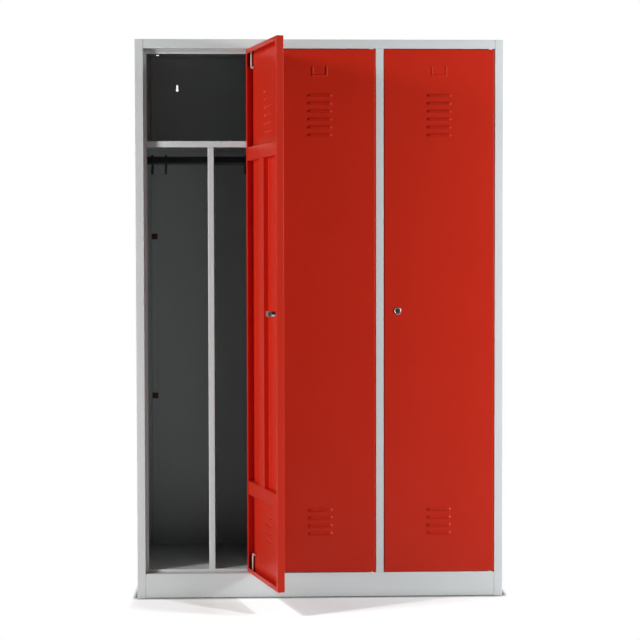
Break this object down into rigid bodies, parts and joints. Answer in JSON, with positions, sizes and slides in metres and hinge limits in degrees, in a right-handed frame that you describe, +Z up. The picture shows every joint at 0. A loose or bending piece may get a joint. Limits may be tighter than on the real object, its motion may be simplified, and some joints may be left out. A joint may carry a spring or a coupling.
{
  "type": "clothing locker",
  "caption": "Sheet steel clothing locker with louvred red doors on lift-out hinge pins, hat shelves, upright partitions and hanging rails with sliding hooks.",
  "frame": {"origin": "middle of the cabinet's footprint, on the floor", "axes": "+Z up, -Y towards the doors' front, +X to the right seen from the front"},
  "size_m": [1.185, 0.8275, 1.8],
  "materials": {
    "grey_paint": "light grey powder coat with a fine texture, satin",
    "red_paint": "red powder coat with a fine texture, satin",
    "rail_black": "black paint, satin",
    "hook_black": "black moulded plastic, satin",
    "black_plastic": "black moulded plastic, matt",
    "brown_plastic": "red-brown moulded plastic, matt",
    "white_plastic": "white nylon, satin",
    "zinc": "bright zinc plate",
    "nickel": "nickel plate, polished",
    "dark_metal": "dull nickel plate"
  },
  "bodies": {
    "cabinet": {"left_side": "grey_paint", "right_side": "grey_paint", "outer_stiles": "grey_paint", "top_panel": "grey_paint", "kick_plate": "grey_paint", "floor_pan": "grey_paint", "back_panel": "grey_paint", "divider_1": "grey_paint", "divider_2": "grey_paint", "hat_shelf_1": "grey_paint", "hat_shelf_2": "grey_paint", "hat_shelf_3": "grey_paint", "partition_1": "grey_paint", "partition_2": "grey_paint", "partition_3": "grey_paint", "hanging_rail_1": "rail_black", "hanging_rail_2": "rail_black", "hanging_rail_3": "rail_black", "rail_sockets": "black_plastic", "rear_caps": "brown_plastic", "hinge_bushes": "white_plastic"},
    "door_1": {"door_shell_1": "red_paint", "cross_braces_1": "red_paint", "upright_channel_1": "red_paint", "pin_guides_1": "black_plastic", "lock_barrel_1": "nickel", "lock_nut_1": "zinc"},
    "upper_pin_1": {"top_pin_1": "zinc"},
    "lower_pin_1": {"bottom_pin_1": "zinc"},
    "lock_1": {"lock_plug_1": "dark_metal", "lock_cam_1": "zinc"},
    "door_2": {"door_shell_2": "red_paint", "cross_braces_2": "red_paint", "upright_channel_2": "red_paint", "pin_guides_2": "black_plastic", "lock_barrel_2": "nickel", "lock_nut_2": "zinc"},
    "upper_pin_2": {"top_pin_2": "zinc"},
    "lower_pin_2": {"bottom_pin_2": "zinc"},
    "lock_2": {"lock_plug_2": "dark_metal", "lock_cam_2": "zinc"},
    "door_3": {"door_shell_3": "red_paint", "cross_braces_3": "red_paint", "upright_channel_3": "red_paint", "pin_guides_3": "black_plastic", "lock_barrel_3": "nickel", "lock_nut_3": "zinc"},
    "upper_pin_3": {"top_pin_3": "zinc"},
    "lower_pin_3": {"bottom_pin_3": "zinc"},
    "lock_3": {"lock_plug_3": "dark_metal", "lock_cam_3": "zinc"},
    "hook_1_left": {"coat_hook_1_left": "hook_black"},
    "hook_1_second": {"coat_hook_1_second": "hook_black"},
    "hook_1_right": {"coat_hook_1_right": "hook_black"},
    "hook_2_left": {"coat_hook_2_left": "hook_black"},
    "hook_2_second": {"coat_hook_2_second": "hook_black"},
    "hook_2_right": {"coat_hook_2_right": "hook_black"},
    "hook_3_left": {"coat_hook_3_left": "hook_black"},
    "hook_3_second": {"coat_hook_3_second": "hook_black"},
    "hook_3_right": {"coat_hook_3_right": "hook_black"}
  },
  "joints": [
    {"name": "door_hinge_1", "type": "hinge", "parent": "cabinet", "child": "door_1", "pos_m": [-0.219, -0.2425, 0.925], "axis": [0, 0, 1], "range_deg": [-105.6, 4.4]},
    {"name": "upper_pin_slide_1", "type": "slide", "parent": "door_1", "child": "upper_pin_1", "axis": [0, 0, 1], "range_m": [-0.015, 0]},
    {"name": "lower_pin_slide_1", "type": "slide", "parent": "door_1", "child": "lower_pin_1", "axis": [0, 0, 1], "range_m": [0, 0.015]},
    {"name": "lock_turn_1", "type": "hinge", "parent": "door_1", "child": "lock_1", "pos_m": [-0.13097, -0.52991, 0.928], "axis": [-0.9632, -0.2689, 0], "range_deg": [0, 180]},
    {"name": "door_hinge_2", "type": "hinge", "parent": "cabinet", "child": "door_2", "pos_m": [0.166, -0.2425, 0.925], "axis": [0, 0, 1], "range_deg": [0, 110]},
    {"name": "upper_pin_slide_2", "type": "slide", "parent": "door_2", "child": "upper_pin_2", "axis": [0, 0, 1], "range_m": [-0.015, 0]},
    {"name": "lower_pin_slide_2", "type": "slide", "parent": "door_2", "child": "lower_pin_2", "axis": [0, 0, 1], "range_m": [0, 0.015]},
    {"name": "lock_turn_2", "type": "hinge", "parent": "door_2", "child": "lock_2", "pos_m": [-0.1345, -0.25, 0.928], "axis": [0, 1, 0], "range_deg": [0, 180]},
    {"name": "door_hinge_3", "type": "hinge", "parent": "cabinet", "child": "door_3", "pos_m": [0.551, -0.2425, 0.925], "axis": [0, 0, 1], "range_deg": [0, 110]},
    {"name": "upper_pin_slide_3", "type": "slide", "parent": "door_3", "child": "upper_pin_3", "axis": [0, 0, 1], "range_m": [-0.015, 0]},
    {"name": "lower_pin_slide_3", "type": "slide", "parent": "door_3", "child": "lower_pin_3", "axis": [0, 0, 1], "range_m": [0, 0.015]},
    {"name": "lock_turn_3", "type": "hinge", "parent": "door_3", "child": "lock_3", "pos_m": [0.2505, -0.25, 0.928], "axis": [0, 1, 0], "range_deg": [0, 180]},
    {"name": "hook_slide_1_left", "type": "slide", "parent": "cabinet", "child": "hook_1_left", "axis": [1, 0, 0], "range_m": [-0.02, 0.018]},
    {"name": "hook_slide_1_second", "type": "slide", "parent": "cabinet", "child": "hook_1_second", "axis": [1, 0, 0], "range_m": [-0.018, 0.152]},
    {"name": "hook_slide_1_right", "type": "slide", "parent": "cabinet", "child": "hook_1_right", "axis": [1, 0, 0], "range_m": [-0.104, 0.03]},
    {"name": "hook_slide_2_left", "type": "slide", "parent": "cabinet", "child": "hook_2_left", "axis": [1, 0, 0], "range_m": [-0.005, 0.018]},
    {"name": "hook_slide_2_second", "type": "slide", "parent": "cabinet", "child": "hook_2_second", "axis": [1, 0, 0], "range_m": [-0.018, 0.152]},
    {"name": "hook_slide_2_right", "type": "slide", "parent": "cabinet", "child": "hook_2_right", "axis": [1, 0, 0], "range_m": [-0.104, 0.03]},
    {"name": "hook_slide_3_left", "type": "slide", "parent": "cabinet", "child": "hook_3_left", "axis": [1, 0, 0], "range_m": [-0.005, 0.018]},
    {"name": "hook_slide_3_second", "type": "slide", "parent": "cabinet", "child": "hook_3_second", "axis": [1, 0, 0], "range_m": [-0.018, 0.152]},
    {"name": "hook_slide_3_right", "type": "slide", "parent": "cabinet", "child": "hook_3_right", "axis": [1, 0, 0], "range_m": [-0.104, 0.045]}
  ]
}
